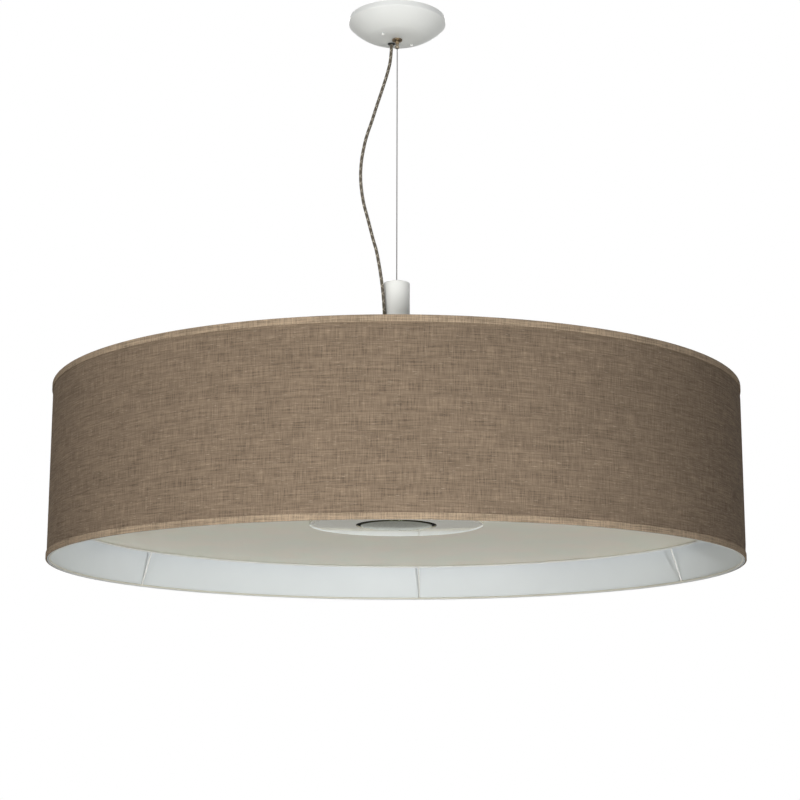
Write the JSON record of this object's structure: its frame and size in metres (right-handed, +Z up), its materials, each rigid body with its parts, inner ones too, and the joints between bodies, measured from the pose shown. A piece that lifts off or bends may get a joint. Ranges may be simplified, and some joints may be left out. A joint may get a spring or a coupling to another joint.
{
  "type": "pendant light",
  "caption": "Wide fabric drum pendant light with a white diffuser, a round centre plate and spot lamp, hung on a wire from a domed ceiling canopy.",
  "frame": {"origin": "middle of the ceiling face of the bracket, on the suspension axis", "axes": "+Z up into the ceiling, along the suspension wire; -Y towards the camera; +X to the camera's right"},
  "size_m": [1, 1, 0.847],
  "materials": {
    "linen_fabric": "matt plain-weave linen, light brown",
    "linen_trim": "matt woven trim, lighter beige",
    "white_liner": "smooth white film",
    "opal_diffuser": "satin opal acrylic, warm white",
    "gloss_white": "gloss white paint",
    "white_paint": "satin white paint",
    "canopy_white": "satin white powder coat",
    "screw_white": "white paint",
    "zinc_steel": "zinc plate",
    "steel_wire": "bright drawn steel",
    "aged_brass": "dark antique brass",
    "nickel": "dull nickel",
    "black_rubber": "matt black rubber",
    "white_plastic": "white moulded plastic",
    "opal_bulb": "opal white dome",
    "lamp_silver": "satin silver reflector",
    "satin_lens": "satin silvered front glass",
    "textile_cord": "braided textile sleeve, grey-brown with pale flecks"
  },
  "bodies": {
    "canopy": {"ceiling_bracket": "zinc_steel", "canopy_shell": "canopy_white", "canopy_screw_1": "screw_white", "canopy_screw_2": "screw_white", "terminal_block": "white_plastic", "gripper_collar": "aged_brass", "collar_nut": "aged_brass", "cord_grommet": "black_rubber"},
    "gripper": {"gripper_body": "aged_brass", "gripper_spring": "steel_wire"},
    "release_nozzle": {"release_nozzle": "nickel", "wire_collet": "steel_wire"},
    "wire": {"suspension_wire": "steel_wire", "power_cord": "textile_cord"},
    "ferrule": {"wire_ferrule": "aged_brass"},
    "pendant": {"stem_nipple": "white_paint", "nipple_nut": "zinc_steel", "stem_tube": "white_paint", "stem_socket": "zinc_steel", "cord_relief": "black_rubber", "spider": "white_paint", "top_ring": "white_paint", "box_lid": "white_paint", "box_screw_1": "zinc_steel", "box_screw_2": "zinc_steel", "box_screw_3": "zinc_steel", "junction_box": "white_paint", "joint_block": "white_plastic", "lampholder_1": "white_plastic", "lampholder_2": "white_plastic", "lampholder_3": "white_plastic", "bulb_base_1": "white_plastic", "bulb_base_2": "white_plastic", "bulb_base_3": "white_plastic", "bulb_dome_1": "opal_bulb", "bulb_dome_2": "opal_bulb", "bulb_dome_3": "opal_bulb", "shade_fabric": "linen_fabric", "shade_liner": "white_liner", "top_trim": "linen_trim", "bottom_trim": "linen_trim", "bottom_frame": "white_paint", "support_ring": "white_paint", "centre_plate": "gloss_white", "plate_nut_1": "zinc_steel", "plate_nut_2": "zinc_steel", "plate_nut_3": "zinc_steel", "lamp_housing": "white_paint", "down_tube": "zinc_steel", "tube_nut_1": "zinc_steel", "tube_nut_2": "zinc_steel", "tube_nut_3": "zinc_steel", "tube_nut_4": "zinc_steel", "spot_strap": "zinc_steel", "spot_lampholder": "white_plastic"},
    "diffuser": {"diffuser": "opal_diffuser"},
    "spot_lamp": {"spot_lamp_body": "lamp_silver", "spot_lamp_lens": "satin_lens"}
  },
  "joints": [
    {"name": "swing_fore_aft", "type": "hinge", "parent": "canopy", "child": "gripper", "pos_m": [0, 0, -0.03057], "axis": [1, 0, 0], "range_deg": [-10, 10]},
    {"name": "release_press", "type": "slide", "parent": "gripper", "child": "release_nozzle", "axis": [0, 0, 1], "range_m": [0, 0.0028], "stiffness_N_per_m": 400, "springref_m": -0.003, "deforming": ["gripper_spring"]},
    {"name": "swing_side", "type": "hinge", "parent": "gripper", "child": "wire", "pos_m": [0, 0, -0.0475], "axis": [0, 1, 0], "range_deg": [-10, 10]},
    {"name": "height_adjust", "type": "slide", "parent": "wire", "child": "ferrule", "axis": [0, 0, 1], "range_m": [0, 0.12], "deforming": ["suspension_wire", "power_cord"]},
    {"name": "twist", "type": "hinge", "parent": "ferrule", "child": "pendant", "pos_m": [0, 0, -0.4296], "axis": [0, 0, 1], "range_deg": [-180, 180]},
    {"name": "diffuser_lift", "type": "slide", "parent": "pendant", "child": "diffuser", "axis": [0, 0, 1], "range_m": [0, 0.08]},
    {"name": "spot_lamp_turn", "type": "hinge", "parent": "pendant", "child": "spot_lamp", "pos_m": [0, 0, -0.726], "axis": [0, 0, 1], "range_deg": [0, 22]}
  ]
}
